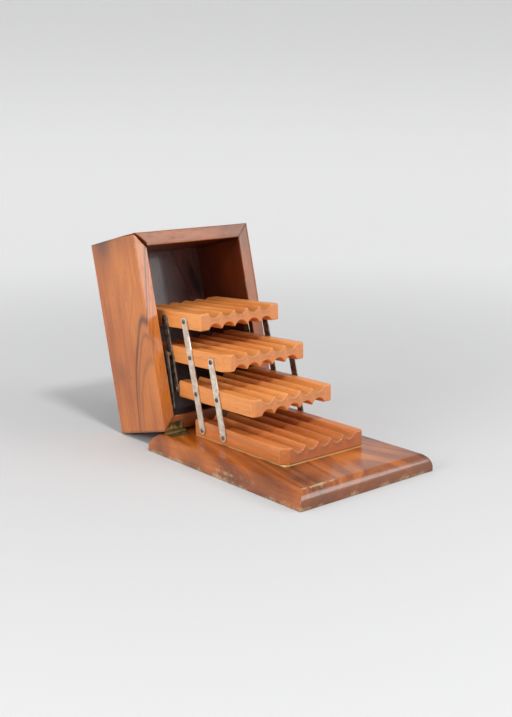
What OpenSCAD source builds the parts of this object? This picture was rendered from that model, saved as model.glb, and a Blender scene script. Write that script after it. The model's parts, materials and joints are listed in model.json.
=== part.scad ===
// Tiered case for fountain pens. A moulded base board carries a deep box cover on two butt
// hinges and four grooved trays on parallel steel bars. Opening the cover lifts the trays
// into steps; shutting it folds them flat, one on another. It is drawn open.
// Millimetres. X runs to the front, Y across, Z up. The origin is the centre of the underside.

/* [Cover] */
// Outside length of the cover, along the trays
cover_l = 213; // [180:1:256]
// Outside width of the cover
cover_w = 156; // [130:1:190]
// Thickness of the four cover walls
wall = 15; // [12:0.5:18]
// Thickness of the cover panel
panel_t = 5; // [4:0.5:6]
// How far the panel is let into the walls
panel_rebate = 7; // [4:0.5:9]
// Height left above the folded stack of trays
headroom = 8.6; // [7:0.1:14]

/* [Base board] */
// Thickness of the board
board_t = 18; // [15:0.5:24]
// Board left outside each side of the cover
side_margin = 12; // [10:0.5:20]
// Board left in front of the shut cover
front_margin = 9; // [9:0.5:20]
// Board left behind the shut cover
rear_margin = 18; // [14:0.5:22]
// Width of the rounded moulding
moulding_w = 9; // [6:0.5:9]
// Height of the square band under the moulding
band_h = 4; // [3:0.5:6]

/* [Trays] */
// Thickness of one tray
tray_t = 18; // [15:0.3:21.6]
// Length of the bottom tray
base_tray_l = 142; // [120:1:150]
// Length of the two middle trays
mid_tray_l = 124; // [104:1:148]
// Length of the top tray
top_tray_l = 117; // [98:1:124]
// Air between folded trays
stack_gap = 0.3; // [0.3:0.1:0.6]
// Space between a tray and the cover wall beside it
side_gap = 9.5; // [9.5:0.5:14]
// Number of pen grooves across a tray
groove_n = 5; // [3:1:6]
// Depth of a pen groove
groove_d = 5.6; // [4:0.1:6]
// Width of the ridge between two grooves
ridge_w = 1.3; // [1:0.1:3]
// Plain wood left outside the outer grooves
tray_edge = 10.25; // [8:0.25:14]
// Thickness of the packing strip under the bottom tray
packing_t = 1; // [0.6:0.1:2]

// How much further each open tray tips to the rear than the one below, in degrees
sag = 1.2; // [0:0.1:1.4]

/* [Bars] */
// Distance from hole to hole in the side bars
bar_pitch = 38.5; // [33:0.1:46.2]
// Backward lean of the open bars, in degrees
open_lean = 15; // [12:0.5:18]
// Distance between the front, middle and rear bars
bar_spacing = 35; // [28:1:42]
// Width of a bar
bar_w = 8.4; // [7:0.2:10]
// Thickness of a bar
bar_t = 1.2; // [1:0.1:1.5]
// Diameter of the pivot screws
pivot_d = 3; // [2.5:0.1:4]

/* [Hinges] */
// Width of a butt hinge
hinge_w = 25; // [20:1:30]
// Reach of a leaf from the hinge axis
leaf_l = 12; // [10:0.5:14]
// Thickness of a leaf
leaf_t = 1.1; // [0.9:0.1:1.4]
// Diameter of the hinge knuckles
knuckle_d = 5.4; // [4.6:0.2:5.4]

/* [Hidden] */
$fn = 48;
eps = 0.02;

// running fits and gaps
fit = 0.05;
pin_fit = 0.04;
rim_gap = 0.5;
floor_gap = 0.2;
bar_gap = 0.35;
head_gap = 0.1;
slot_play = 0.3;

// board
board_l = cover_l + front_margin + rear_margin;
board_w = cover_w + 2 * side_margin;
rear_x = -board_l / 2;

// folded stack and shut cover
stack_pitch = tray_t + stack_gap;
stack_h = 4 * tray_t + 3 * stack_gap;
rim_z = board_t + rim_gap;
cover_h = stack_h - rim_gap + headroom + panel_t;
cover_x0 = rear_x + rear_margin;
cover_x1 = cover_x0 + cover_l;
cover_y1 = cover_w / 2;

// hinge axis, just behind the cover and midway between the leaves
knuckle_r = knuckle_d / 2;
axis_x = cover_x0 - knuckle_r - 0.3;
axis_z = board_t + rim_gap / 2;
hinge_pin_r = 1.1;
hinge_inset = 1;
hinge_y = cover_y1 - hinge_inset - hinge_w / 2;
knuckle_n = 5;
knuckle_gap = 0.2;
knuckle_pocket_r = knuckle_r + 0.3;
leaf_screw_r = 1.1;
leaf_screw_head_r = 2.3;
leaf_screw_l = 9;
leaf_screw_x = 8;
leaf_screw_y = 7;

// opening angle at which the cover's outer edge comes down on the table
edge_dx = cover_x0 - axis_x;
edge_dz = rim_z + cover_h - axis_z;
open_deg = atan2(edge_dx, edge_dz) + acos((floor_gap - axis_z) / norm([edge_dx, edge_dz]));

// trays and pivots
tray_w = cover_w - 2 * wall - 2 * side_gap;
groove_pitch = (tray_w - 2 * tray_edge) / groove_n;
groove_half = (groove_pitch - ridge_w) / 2;
groove_r = (groove_half * groove_half + groove_d * groove_d) / (2 * groove_d);
pivot_h = 8.5;
pivot_r = pivot_d / 2;
pivot_depth = 12;
head_r = 2.4;
head_t = 1;
rear_clear = 2;
base_tray_x0 = cover_x0 + wall + rear_clear;
base_reach = 128;
lower_reach = 92;
upper_reach = 59;
top_reach = 28;
a1_x = base_tray_x0 + base_tray_l - base_reach;
a1_z = board_t + pivot_h;
top_rear_round = 6;
facet_big = 7;
facet_small = 3;
arris = 0.8;

// side positions, outward from the tray's side face
side_y = tray_w / 2;
bar_y = side_y + bar_gap;
head_y = bar_y + bar_t + head_gap;

// drive link between the cover and the third tray, close to the cover wall
link_clear = 0.6;
link_t = 1.2;
wall_y = cover_y1 - wall;
link_y = wall_y - 3.5;
drive_in = 9.9;
drive_up = 4.5;
drive_shut = [cover_x0 + wall + drive_in, rim_z + drive_up];

// rearward tip of an open tray; the bottom tray is level
function tip(tray) = (tray - 1) * sag;

// rows of pivots: 0 middle bars, 1 front bars, -1 rear bars
function pivot(tray, row) = [
    a1_x - (tray - 1) * bar_pitch * sin(open_lean) + row * bar_spacing * cos(tip(tray)),
    a1_z + (tray - 1) * bar_pitch * cos(open_lean) + row * bar_spacing * sin(tip(tray))
];

// where a point of the shut cover stands when the cover is open
function opened(p) = [
    axis_x + (p[0] - axis_x) * cos(open_deg) - (p[1] - axis_z) * sin(open_deg),
    axis_z + (p[0] - axis_x) * sin(open_deg) + (p[1] - axis_z) * cos(open_deg)
];

// ---- helpers ----

// places the shut cover's parts in the open position
module open_cover() {
    translate([axis_x, 0, axis_z]) rotate([0, -open_deg, 0]) translate([-axis_x, 0, -axis_z])
        children();
}

// a cylinder along Y between y0 and y1, about the point p = [x, z]
module y_rod(p, r, y0, y1) {
    translate([p[0], y0, p[1]]) rotate([-90, 0, 0]) cylinder(h = y1 - y0, r = r);
}

// the same piece on the left (-Y) and the right (+Y)
module both_sides() {
    children();
    mirror([0, 1, 0]) children();
}

// ---- base board ----

// outline of the board's edge: a square band, then a round nosing up to a crease
module board_profile(width) {
    rise = board_t - band_h;
    nose_r = (moulding_w * moulding_w + rise * rise) / (2 * moulding_w);
    translate([-width / 2, 0]) square([width, band_h]);
    intersection() {
        translate([-width / 2, 0]) square([width, board_t]);
        union() {
            translate([nose_r - width / 2, 0]) square([width - 2 * nose_r, board_t]);
            for (side = [-1, 1])
                translate([side * (width / 2 - nose_r), band_h]) circle(r = nose_r, $fn = 96);
        }
    }
}

module board_blank() {
    intersection() {
        translate([-board_l / 2, 0, 0]) rotate([90, 0, 90])
            linear_extrude(height = board_l) board_profile(board_w);
        translate([0, board_w / 2, 0]) rotate([90, 0, 0])
            linear_extrude(height = board_w) board_profile(board_l);
    }
}

module base_board() {
    color("saddlebrown") difference() {
        board_blank();
        for (side = [-1, 1]) translate([0, side * hinge_y, 0]) {
            // let-in leaf and the hollow that clears the knuckles
            translate([axis_x, -hinge_w / 2, board_t - leaf_t])
                cube([leaf_l, hinge_w, leaf_t + 1]);
            y_rod([axis_x, axis_z], knuckle_pocket_r, -hinge_w / 2 - 0.3, hinge_w / 2 + 0.3);
            for (y = [-leaf_screw_y, leaf_screw_y])
                translate([axis_x + leaf_screw_x, y, board_t - leaf_t - leaf_screw_l])
                    cylinder(h = leaf_screw_l + 1, r = leaf_screw_r);
        }
    }
}

// ---- trays ----

// one row of grooves along the tray, centred on height z
module grooves(length, z) {
    for (i = [0 : groove_n - 1])
        translate([-1, (i - (groove_n - 1) / 2) * groove_pitch, z]) rotate([0, 90, 0])
            cylinder(h = length + 2, r = groove_r);
}

// section of a tray with its long edges eased
module tray_section(height) {
    half = tray_w / 2;
    polygon([
        [-half + arris, 0], [half - arris, 0], [half, arris], [half, height - arris],
        [half - arris, height], [-half + arris, height], [-half, height - arris], [-half, arris]
    ]);
}

// a tray standing on z = 0 with its rear end at x = 0; the left front corner has a flat facet,
// and back_r rounds the upper edge of the rear end, which passes close to the cover's panel
module tray_blank(length, height, under, facet, back_r) {
    difference() {
        rotate([90, 0, 90]) linear_extrude(height = length) tray_section(height);
        grooves(length, height + groove_r - groove_d);
        if (under) grooves(length, groove_d - groove_r);
        if (facet > 0)
            translate([length, -tray_w / 2, -1]) rotate([0, 0, 45])
                translate([-facet / sqrt(2), -facet, 0]) cube([facet * 2, facet * 2, height + 2]);
        if (back_r > 0) difference() {
            translate([-1, -tray_w, height - back_r]) cube([back_r + 1, 2 * tray_w, back_r + 1]);
            y_rod([back_r, height - back_r], back_r, -tray_w - 1, tray_w + 1);
        }
    }
}

// blind holes for the pivot screws in both sides of a tray
module pivot_holes(tray, rows) {
    for (row = rows) both_sides()
        y_rod(pivot(tray, row), pivot_r, side_y - pivot_depth, side_y + 1);
}

// a tray on its bars, tipped about its middle pivot
module raised_tray(tray, length, reach, rows, facet, back_r) {
    place = pivot(tray, 0);
    difference() {
        translate([place[0], 0, place[1]]) rotate([0, -tip(tray), 0])
            translate([reach - length, 0, -pivot_h])
                tray_blank(length, tray_t, true, facet, back_r);
        pivot_holes(tray, rows);
    }
}

module tray_1_packing() {
    inset = 0.6;
    color("burlywood") translate([base_tray_x0 + inset, -tray_w / 2 + inset, board_t])
        cube([base_tray_l - 2 * inset, tray_w - 2 * inset, packing_t]);
}

module tray_1() {
    color("peru") difference() {
        translate([base_tray_x0, 0, board_t + packing_t])
            tray_blank(base_tray_l, tray_t - packing_t, false, facet_big, 0);
        pivot_holes(1, [0, 1]);
    }
}

module tray_2() {
    color("peru") raised_tray(2, mid_tray_l, lower_reach, [-1, 0, 1], facet_small, 0);
}

module tray_3() {
    color("peru") raised_tray(3, mid_tray_l, upper_reach, [-1, 0, 1], facet_big, 0);
}

module tray_4() {
    color("peru") raised_tray(4, top_tray_l, top_reach, [-1, 0], 0, top_rear_round);
}

// ---- pivot screws and bars ----

// a round-headed screw from inside the tray out through the bar
module pivot_screw(p) {
    y_rod(p, pivot_r, side_y - pivot_depth, head_y + eps);
    y_rod(p, head_r, head_y, head_y + head_t);
}

module pivot_screws(tray, rows) {
    color("dimgray") for (row = rows) both_sides() pivot_screw(pivot(tray, row));
}

module tray_1_pivot_screws() {
    pivot_screws(1, [0, 1]);
}

module tray_2_pivot_screws() {
    pivot_screws(2, [-1, 0, 1]);
}

module tray_3_pivot_screws() {
    pivot_screws(3, [0, 1]);
}

module tray_4_pivot_screws() {
    pivot_screws(4, [-1, 0]);
}

// a flat bar with round ends along X from 0 to run, its inner face on y = 0; each hole is
// [distance along the bar, radius, how far it is drawn out into a slot]
module flat_bar(run, thickness, holes) {
    difference() {
        union() {
            y_rod([0, 0], bar_w / 2, 0, thickness);
            y_rod([run, 0], bar_w / 2, 0, thickness);
            translate([0, 0, -bar_w / 2]) cube([run, thickness, bar_w]);
        }
        for (hole = holes) {
            y_rod([hole[0], 0], hole[1], -1, thickness + 1);
            if (hole[2] != 0) {
                y_rod([hole[0] + hole[2], 0], hole[1], -1, thickness + 1);
                translate([min(hole[0], hole[0] + hole[2]), -1, -hole[1]])
                    cube([abs(hole[2]), thickness + 2, 2 * hole[1]]);
            }
        }
    }
}

// turns a bar that lies along X so that it runs from p towards q, with its inner face on y
module lay_from(p, q, y) {
    translate([p[0], y, p[1]]) rotate([0, -atan2(q[1] - p[1], q[0] - p[0]), 0]) children();
}

// a side bar joining the given trays in one row; the tray called fixed has a round hole, and
// the others a slot as long as the tipping of the trays needs
module side_bar(row, first, last, fixed) {
    start = pivot(first, row);
    at = [for (tray = [first : last]) norm(pivot(tray, row) - start)];
    folded = [for (tray = [first : last]) at[fixed - first] + (tray - fixed) * bar_pitch];
    color("silver") lay_from(start, pivot(last, row), bar_y)
        flat_bar(at[last - first], bar_t, [for (i = [0 : last - first])
            row == 0 || first + i == fixed
                ? [at[i], pivot_r + fit, 0]
                : [at[i], pivot_r + slot_play, folded[i] - at[i]]
        ]);
}

module bar_front_right() {
    side_bar(1, 1, 3, 2);
}

module bar_front_left() {
    mirror([0, 1, 0]) side_bar(1, 1, 3, 2);
}

module bar_middle_right() {
    side_bar(0, 1, 4, 1);
}

module bar_middle_left() {
    mirror([0, 1, 0]) side_bar(0, 1, 4, 1);
}

module bar_rear_right() {
    side_bar(-1, 2, 4, 3);
}

module bar_rear_left() {
    mirror([0, 1, 0]) side_bar(-1, 2, 4, 3);
}

// ---- drive between cover and trays ----

// the link runs from the third tray's rear pivot to a screw in the cover wall
module drive_link() {
    top = pivot(3, -1);
    low = opened(drive_shut);
    run = norm(low - top);
    color("gray") lay_from(top, low, link_y)
        flat_bar(run, link_t, [[0, pivot_r + fit, 0], [run, pivot_r + link_clear, 0]]);
}

module drive_link_right() {
    drive_link();
}

module drive_link_left() {
    mirror([0, 1, 0]) drive_link();
}

module drive_pivot_pins() {
    p = pivot(3, -1);
    out_y = link_y + link_t + head_gap;
    color("dimgray") both_sides() {
        y_rod(p, pivot_r, side_y - pivot_depth, out_y + eps);
        y_rod(p, head_r, out_y, out_y + head_t);
    }
}

module drive_bushes() {
    color("goldenrod") both_sides() difference() {
        y_rod(pivot(3, -1), head_r, head_y, link_y - head_gap);
        y_rod(pivot(3, -1), pivot_r, head_y - 1, link_y + 1);
    }
}

module cover_drive_screws() {
    p = opened(drive_shut);
    in_y = link_y - head_gap;
    color("dimgray") both_sides() {
        y_rod(p, pivot_r, in_y - eps, wall_y + pivot_depth);
        y_rod(p, head_r + 0.3, in_y - head_t, in_y);
    }
}

module cover_drive_washers() {
    p = opened(drive_shut);
    color("goldenrod") both_sides() difference() {
        y_rod(p, head_r, link_y + link_t + head_gap, wall_y);
        y_rod(p, pivot_r, link_y, wall_y + 1);
    }
}

// ---- cover ----

// plan of one mitred wall; outer runs along the outside, inner along the inside
module mitred_wall(outer0, outer1, inner1, inner0) {
    translate([0, 0, rim_z]) linear_extrude(height = cover_h)
        polygon([outer0, outer1, inner1, inner0]);
}

// everything that is cut out of the cover walls
module cover_cuts() {
    let_in = wall - panel_rebate;
    translate([cover_x0 + let_in, -cover_y1 + let_in, rim_z + cover_h - panel_t])
        cube([cover_l - 2 * let_in, cover_w - 2 * let_in, panel_t + 1]);
    for (side = [-1, 1]) translate([0, side * hinge_y, 0]) {
        translate([axis_x, -hinge_w / 2, rim_z - 1]) cube([leaf_l, hinge_w, leaf_t + 1]);
        for (y = [-leaf_screw_y, leaf_screw_y])
            translate([axis_x + leaf_screw_x, y, rim_z - 1])
                cylinder(h = leaf_t + leaf_screw_l + 1, r = leaf_screw_r);
    }
    both_sides() y_rod(drive_shut, pivot_r, wall_y - 1, wall_y + pivot_depth);
}

module side_wall(side) {
    color("sienna") open_cover() difference() {
        mitred_wall([cover_x0, side * cover_y1], [cover_x1, side * cover_y1],
            [cover_x1 - wall, side * wall_y], [cover_x0 + wall, side * wall_y]);
        cover_cuts();
    }
}

// outer is the X of the outside face, inner that of the inside face
module end_wall(outer, inner) {
    color("sienna") open_cover() difference() {
        mitred_wall([outer, -cover_y1], [outer, cover_y1], [inner, wall_y], [inner, -wall_y]);
        cover_cuts();
    }
}

module cover_left_wall() {
    side_wall(-1);
}

module cover_right_wall() {
    side_wall(1);
}

module cover_front_wall() {
    end_wall(cover_x1, cover_x1 - wall);
}

module cover_rear_wall() {
    end_wall(cover_x0, cover_x0 + wall);
}

module cover_panel() {
    let_in = wall - panel_rebate;
    color("chocolate") open_cover()
        translate([cover_x0 + let_in, -cover_y1 + let_in, rim_z + cover_h - panel_t])
            cube([cover_l - 2 * let_in, cover_w - 2 * let_in, panel_t]);
}

// ---- hinges, drawn shut with the axis at the origin ----

// knuckles of one leaf: first is 0 or 1, and every other knuckle follows
module knuckles(first, r, grow) {
    step = hinge_w / knuckle_n;
    for (i = [first : 2 : knuckle_n - 1])
        y_rod([0, 0], r, -hinge_w / 2 + i * step + knuckle_gap / 2 - grow,
            -hinge_w / 2 + (i + 1) * step - knuckle_gap / 2 + grow);
}

// up is 1 for the cover's leaf and -1 for the board's leaf
module leaf(up, first, bore_r) {
    z0 = up > 0 ? rim_gap / 2 : -rim_gap / 2 - leaf_t;
    color("darkgoldenrod") difference() {
        union() {
            difference() {
                translate([0, -hinge_w / 2, z0]) cube([leaf_l, hinge_w, leaf_t]);
                knuckles(1 - first, knuckle_r + 0.25, knuckle_gap);
            }
            knuckles(first, knuckle_r, 0);
        }
        y_rod([0, 0], bore_r, -hinge_w, hinge_w);
        for (y = [-leaf_screw_y, leaf_screw_y]) translate([leaf_screw_x, y, up * rim_gap / 2])
            leaf_countersink(up);
    }
}

// the cone that a leaf screw's head fills, wide at the leaf's outer face
module leaf_countersink(up) {
    mirror([0, 0, up > 0 ? 0 : 1])
        cylinder(h = leaf_t, r1 = leaf_screw_head_r, r2 = leaf_screw_r);
}

module leaf_screws(up) {
    color("darkkhaki") for (side = [-1, 1], y = [-leaf_screw_y, leaf_screw_y])
        translate([leaf_screw_x, side * hinge_y + y, up * rim_gap / 2])
            mirror([0, 0, up > 0 ? 0 : 1]) {
                cylinder(h = leaf_t, r1 = leaf_screw_head_r, r2 = leaf_screw_r);
                cylinder(h = leaf_t + leaf_screw_l, r = leaf_screw_r);
            }
}

module at_axis(y) {
    translate([axis_x, y, axis_z]) children();
}

module board_leaf(side) {
    at_axis(side * hinge_y) leaf(-1, 0, hinge_pin_r);
}

module cover_leaf(side) {
    open_cover() at_axis(side * hinge_y) leaf(1, 1, hinge_pin_r + pin_fit);
}

module hinge_pin(side) {
    color("darkkhaki") at_axis(side * hinge_y)
        y_rod([0, 0], hinge_pin_r, -hinge_w / 2, hinge_w / 2);
}

module hinge_left_board_leaf() {
    board_leaf(-1);
}

module hinge_right_board_leaf() {
    board_leaf(1);
}

module hinge_left_cover_leaf() {
    cover_leaf(-1);
}

module hinge_right_cover_leaf() {
    cover_leaf(1);
}

module hinge_left_pin() {
    hinge_pin(-1);
}

module hinge_right_pin() {
    hinge_pin(1);
}

module board_hinge_screws() {
    at_axis(0) leaf_screws(-1);
}

module cover_hinge_screws() {
    open_cover() at_axis(0) leaf_screws(1);
}

// ---- what is drawn ----

base_board();
tray_1();
tray_1_packing();
tray_1_pivot_screws();
tray_2();
tray_2_pivot_screws();
tray_3();
tray_3_pivot_screws();
tray_4();
tray_4_pivot_screws();
bar_front_left();
bar_front_right();
bar_middle_left();
bar_middle_right();
bar_rear_left();
bar_rear_right();
drive_link_left();
drive_link_right();
drive_pivot_pins();
drive_bushes();
cover_drive_screws();
cover_drive_washers();
cover_left_wall();
cover_right_wall();
cover_front_wall();
cover_rear_wall();
cover_panel();
hinge_left_board_leaf();
hinge_left_cover_leaf();
hinge_left_pin();
hinge_right_board_leaf();
hinge_right_cover_leaf();
hinge_right_pin();
board_hinge_screws();
cover_hinge_screws();
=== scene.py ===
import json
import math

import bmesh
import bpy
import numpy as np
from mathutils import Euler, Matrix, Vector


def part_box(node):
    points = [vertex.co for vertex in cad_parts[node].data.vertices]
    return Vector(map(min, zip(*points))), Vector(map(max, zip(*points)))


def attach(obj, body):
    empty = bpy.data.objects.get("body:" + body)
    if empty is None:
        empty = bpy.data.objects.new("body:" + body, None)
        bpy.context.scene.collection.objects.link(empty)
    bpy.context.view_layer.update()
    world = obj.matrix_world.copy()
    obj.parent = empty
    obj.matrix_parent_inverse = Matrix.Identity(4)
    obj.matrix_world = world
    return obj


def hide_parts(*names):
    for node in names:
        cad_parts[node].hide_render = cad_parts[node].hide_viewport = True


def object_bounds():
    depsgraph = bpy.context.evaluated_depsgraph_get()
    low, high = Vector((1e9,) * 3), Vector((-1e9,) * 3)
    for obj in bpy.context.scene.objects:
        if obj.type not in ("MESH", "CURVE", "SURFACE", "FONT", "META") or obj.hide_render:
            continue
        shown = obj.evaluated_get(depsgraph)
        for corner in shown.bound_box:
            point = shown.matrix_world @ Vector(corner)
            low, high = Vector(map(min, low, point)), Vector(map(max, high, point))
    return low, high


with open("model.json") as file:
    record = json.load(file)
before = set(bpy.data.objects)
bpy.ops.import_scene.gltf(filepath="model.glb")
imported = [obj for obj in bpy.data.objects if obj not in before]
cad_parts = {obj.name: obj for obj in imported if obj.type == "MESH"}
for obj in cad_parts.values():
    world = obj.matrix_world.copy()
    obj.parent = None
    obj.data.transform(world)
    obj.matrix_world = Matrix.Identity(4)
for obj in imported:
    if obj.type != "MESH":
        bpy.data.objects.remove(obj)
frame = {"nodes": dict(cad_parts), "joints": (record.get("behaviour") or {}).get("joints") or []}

# %% [markdown]
# # A tiered case for fountain pens
# The case is a small piece of joinery. A moulded board carries a deep box cover on two brass
# hinges, and four grooved trays that ride on steel bars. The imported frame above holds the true
# sizes and joints, and this lesson gives every part its finished shape and its finish.
#
# Each piece is worked out as a surface: a profile is drawn once and carried along a path, as a
# plane or a moulding cutter would do it. The whole surface is one array of points, so a change
# to a formula changes the piece at once, and no point is placed by hand.

MM = 0.001
cad_low, cad_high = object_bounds()
joints = {joint["name"]: joint for joint in frame["joints"]}
print("packed model, mm:", np.round(np.array(cad_high - cad_low) / MM, 1))

# %% [markdown]
# ## Reading the frame
# The case is packed standing open, and a wall that leans is awkward to draw. So the cover is
# drawn shut, where its walls are square to the axes, and is turned open about the hinge at the
# end. The trays tip a degree or two, and they are drawn level and tipped in the same way.

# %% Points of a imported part, and turning about a pivot


def cad_points(node):
    """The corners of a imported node, one row of x, y, z each."""
    vertices = frame["nodes"][node].data.vertices
    flat = np.empty(len(vertices) * 3, np.float32)
    vertices.foreach_get("co", flat)
    return flat.reshape(-1, 3).astype(float)


def turned(points, centre, degrees):
    """Points turned about a line along Y: x becomes x cos + z sin, and z becomes z cos - x sin."""
    angle = math.radians(degrees)
    x, z = points[..., 0] - centre[0], points[..., 2] - centre[2]
    made = np.array(points, float)
    made[..., 0] = centre[0] + x * math.cos(angle) + z * math.sin(angle)
    made[..., 2] = centre[2] + z * math.cos(angle) - x * math.sin(angle)
    return made


def place_of(joint):
    """Where a joint's pin is."""
    return np.array(joints[joint]["pos_m"])


def low_high(points):
    """The lowest and the highest corner of some points."""
    return points.min(0), points.max(0)


hinge = place_of("cover_hinge")
open_angle = joints["cover_hinge"]["range_deg"][1]


def opened(points):
    """Points of the shut cover, turned to where they are on the open case."""
    return turned(np.asarray(points, float), hinge, -open_angle)


def shut_box(node):
    """The box of a cover part as it lies with the cover shut."""
    return low_high(turned(cad_points(node), hinge, open_angle))


print("the cover opens by", open_angle, "degrees about", hinge / MM)

# %% [markdown]
# ## From arrays to meshes
# A closed surface needs its faces wound so that they look outwards. The volume that a mesh
# encloses comes out negative when they look inwards, so one sum tells which way round it is.

# %% Grids of faces, and a finished piece


def grid_faces(rows, columns):
    """Quads of a grid whose columns join up into loops; each row is one loop of points."""
    row, column = np.meshgrid(np.arange(rows - 1), np.arange(columns), indexing="ij")
    after = (column + 1) % columns
    corners = (row * columns + column, row * columns + after,
               (row + 1) * columns + after, (row + 1) * columns + column)
    return np.stack(corners, -1).reshape(-1, 4).tolist()


def looking_outwards(points, faces):
    """The same faces, all reversed if the volume inside them, a sum of wedges, is negative."""
    fans = [(f[0], f[i], f[i + 1]) for f in faces for i in range(1, len(f) - 1)]
    a, b, c = (points[np.array(fans)[:, corner]] for corner in range(3))
    volume = np.einsum("ij,ij->i", a, np.cross(b, c)).sum()
    return [face[::-1] for face in faces] if volume < 0 else faces


def piece(name, parts, material, body, nodes, sharp=40, marks=None):
    """One object from closed parts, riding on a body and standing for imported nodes."""
    all_points, all_faces, count = [], [], 0
    for points, faces in parts:
        faces = looking_outwards(points, faces)
        all_faces += [[corner + count for corner in face] for face in faces]
        all_points.append(points)
        count += len(points)
    mesh = bpy.data.meshes.new(name)
    mesh.from_pydata(np.concatenate(all_points).tolist(), [], all_faces)
    for mark, values in (marks or {}).items():
        layer = mesh.attributes.new(mark, "FLOAT", "POINT")
        layer.data.foreach_set("value", np.asarray(values, np.float32))
    thing = bpy.data.objects.new(name, mesh)
    bpy.context.scene.collection.objects.link(thing)
    return finished(thing, material, body, nodes, sharp)


def finished(thing, material, body, nodes, sharp=40):
    """Smooth shading with crisp edges, a material, a body to ride on and nodes to stand for."""
    thing.data.materials.clear()
    thing.data.materials.append(material)
    thing.data.shade_smooth()
    thing.data.set_sharp_from_angle(angle=math.radians(sharp))
    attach(thing, body)
    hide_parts(*nodes)
    print(f"{thing.name}: {len(thing.data.polygons)} faces on {body}")
    return thing


# %% [markdown]
# ## Unevenness
# Hand-planed wood is never quite flat. A few long sine waves that run in different directions
# add up to a gentle swell, and the seed picks the directions, so each run is the same.

# %% A gentle swell


def swell(points, length, seed):
    """A smooth value from -1 to 1 at each point: the mean of sines along seeded directions."""
    draw = np.random.default_rng(seed)
    waves = 7
    directions = draw.normal(size=(waves, 3)) * 2 * math.pi / length
    phases = draw.uniform(0, 2 * math.pi, waves)
    return np.sin(points @ directions.T + phases).mean(-1) * 1.6


# %% [markdown]
# ## A profile carried along a line
# Every board of the case is a section carried along its length: a tray's section has the pen
# grooves, a wall's section has the rebate for the panel. What differs is how the ends are cut,
# so each point of the section has its own start and end. A mitre, a facet and a rounded end
# are then only three rules for those two numbers.

# %% Sections, and boards cut from them


def rounded_outline(corners, radii, spacing, steps=4):
    """A closed outline: each corner is an arc, and the straights are cut into short lengths."""
    corners = np.asarray(corners, float)
    points = []
    for i, corner in enumerate(corners):
        before = corners[i - 1] - corner
        after = corners[(i + 1) % len(corners)] - corner
        before, after = before / np.linalg.norm(before), after / np.linalg.norm(after)
        t = np.linspace(0, math.pi / 2, steps + 1)[:, None]
        arc = corner + radii[i] * (before * (1 - np.sin(t)) + after * (1 - np.cos(t)))
        points.append(arc)
    loop = []
    for i, arc in enumerate(points):
        there = points[(i + 1) % len(points)][0]
        cuts = max(1, int(np.linalg.norm(there - arc[-1]) / spacing))
        share = np.arange(1, cuts)[:, None] / cuts
        loop += [arc, arc[-1] + (there - arc[-1]) * share]
    return np.concatenate(loop)


def outward_normals(outline):
    """Unit vectors out of a closed outline, square to the line through each point's neighbours."""
    along = np.roll(outline, -1, 0) - np.roll(outline, 1, 0)
    y, z = outline.T
    area = (y * np.roll(z, -1) - z * np.roll(y, -1)).sum()
    out = np.stack([along[:, 1], -along[:, 0]], 1) * np.sign(area)
    return out / np.linalg.norm(out, axis=1, keepdims=True)


def carried(outline, start, end, ease, rows, steps=3, outwards=None):
    """The outline carried from start to end, which may differ from point to point.

    The last stretch of each end shrinks inwards along a quarter circle of radius ease, which
    takes the edge off; outwards says which way out is, if not square to the outline. It
    returns rows of points: length, across, up.
    """
    if outwards is None:
        outwards = outward_normals(outline)
    angle = np.linspace(0, math.pi / 2, steps + 1)
    inset = ease * (1 - np.sin(angle))
    advance = ease * (1 - np.cos(angle))
    share = np.linspace(0, 1, rows)[1:-1, None]
    near, far = start + ease, end - ease
    lengths = np.concatenate([start + advance[:, None], near + (far - near) * share,
                              end - advance[::-1, None]])
    insets = np.concatenate([inset, np.zeros(rows - 2), inset[::-1]])
    section = outline[None] - insets[:, None, None] * outwards[None]
    return np.concatenate([lengths[..., None], section], 2)


def with_ends(grid):
    """Points and faces of a carried outline, with one flat face closing each end."""
    rows, columns = grid.shape[:2]
    ends = [list(range(columns))[::-1], list(range((rows - 1) * columns, rows * columns))]
    return grid.reshape(-1, 3), grid_faces(rows, columns) + ends


# %% [markdown]
# ## Wood as a solid pattern
# Growth rings are cylinders round the pith of the tree, and a board is a straight cut through
# them. So the pattern is made in three dimensions and in the board's own frame, with the grain
# along X: long streaks appear on the faces, arches where the cut is near the pith, and ring
# ends and pores on the end grain, all from one rule.
#
# Three numbers kept at each point change it: "rubbed" bares the wood under the varnish, "grime"
# darkens joints with grime and painted shade and darkens groove hollows and the board's foot as
# painted shade, and "inside" darkens the faces inside the cover as painted shade.

# %% Short ways to write node trees


def node(tree, kind, inputs=None, **settings):
    """A new node; an input that is a socket is linked, and any other value is set."""
    made = tree.nodes.new(kind)
    for setting, value in settings.items():
        setattr(made, setting, value)
    for socket, value in (inputs or {}).items():
        if isinstance(value, bpy.types.NodeSocket):
            tree.links.new(value, made.inputs[socket])
        else:
            made.inputs[socket].default_value = value
    return made


def maths(tree, operation, a, b=0.0, c=0.0, clamp=False):
    """One arithmetic step on single numbers."""
    return node(tree, "ShaderNodeMath", {0: a, 1: b, 2: c}, operation=operation,
                use_clamp=clamp).outputs[0]


def vectors(tree, operation, a, b=(0, 0, 0), output=0):
    """One arithmetic step on vectors."""
    return node(tree, "ShaderNodeVectorMath", {0: a, 1: b}, operation=operation).outputs[output]


def noise(tree, where, scale, detail=2.0, roughness=0.5, stretch=None):
    """Noise from 0 to 1 at a position; stretch squeezes each axis before it."""
    if stretch:
        where = vectors(tree, "MULTIPLY", where, stretch)
    return node(tree, "ShaderNodeTexNoise", {"Vector": where, "Scale": scale, "Detail": detail,
                                             "Roughness": roughness}).outputs["Fac"]


def line_noise(tree, value, scale, detail=2.0):
    """Noise from 0 to 1 that depends on one number, such as the distance from the pith."""
    return node(tree, "ShaderNodeTexNoise", {"W": value, "Scale": scale, "Detail": detail},
                noise_dimensions="1D").outputs["Fac"]


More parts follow.
